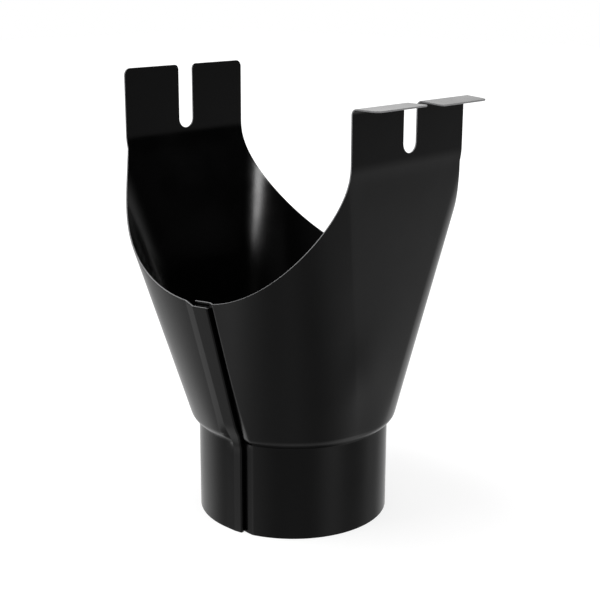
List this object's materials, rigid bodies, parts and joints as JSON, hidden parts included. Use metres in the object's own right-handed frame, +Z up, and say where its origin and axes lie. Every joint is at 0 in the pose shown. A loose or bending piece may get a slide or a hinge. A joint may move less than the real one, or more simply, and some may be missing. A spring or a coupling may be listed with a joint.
{
  "type": "gutter outlet",
  "caption": "Folded sheet-steel funnel that hangs under a half-round gutter by two slotted tabs and drains into a round downpipe.",
  "frame": {"origin": "on the plane of the spigot's lower end, under the middle of the part's outline seen from above", "axes": "+Z up along the spigot; the gutter runs along Y; the plain tab is at -X and the hooked tab at +X; the seam faces -Y"},
  "size_m": [0.1378, 0.1156, 0.1905],
  "materials": {
    "black_painted_steel": "gloss black coil-coated steel, cut edges in the same paint"
  },
  "bodies": {
    "root": {"outlet_body": "black_painted_steel"}
  },
  "joints": []
}
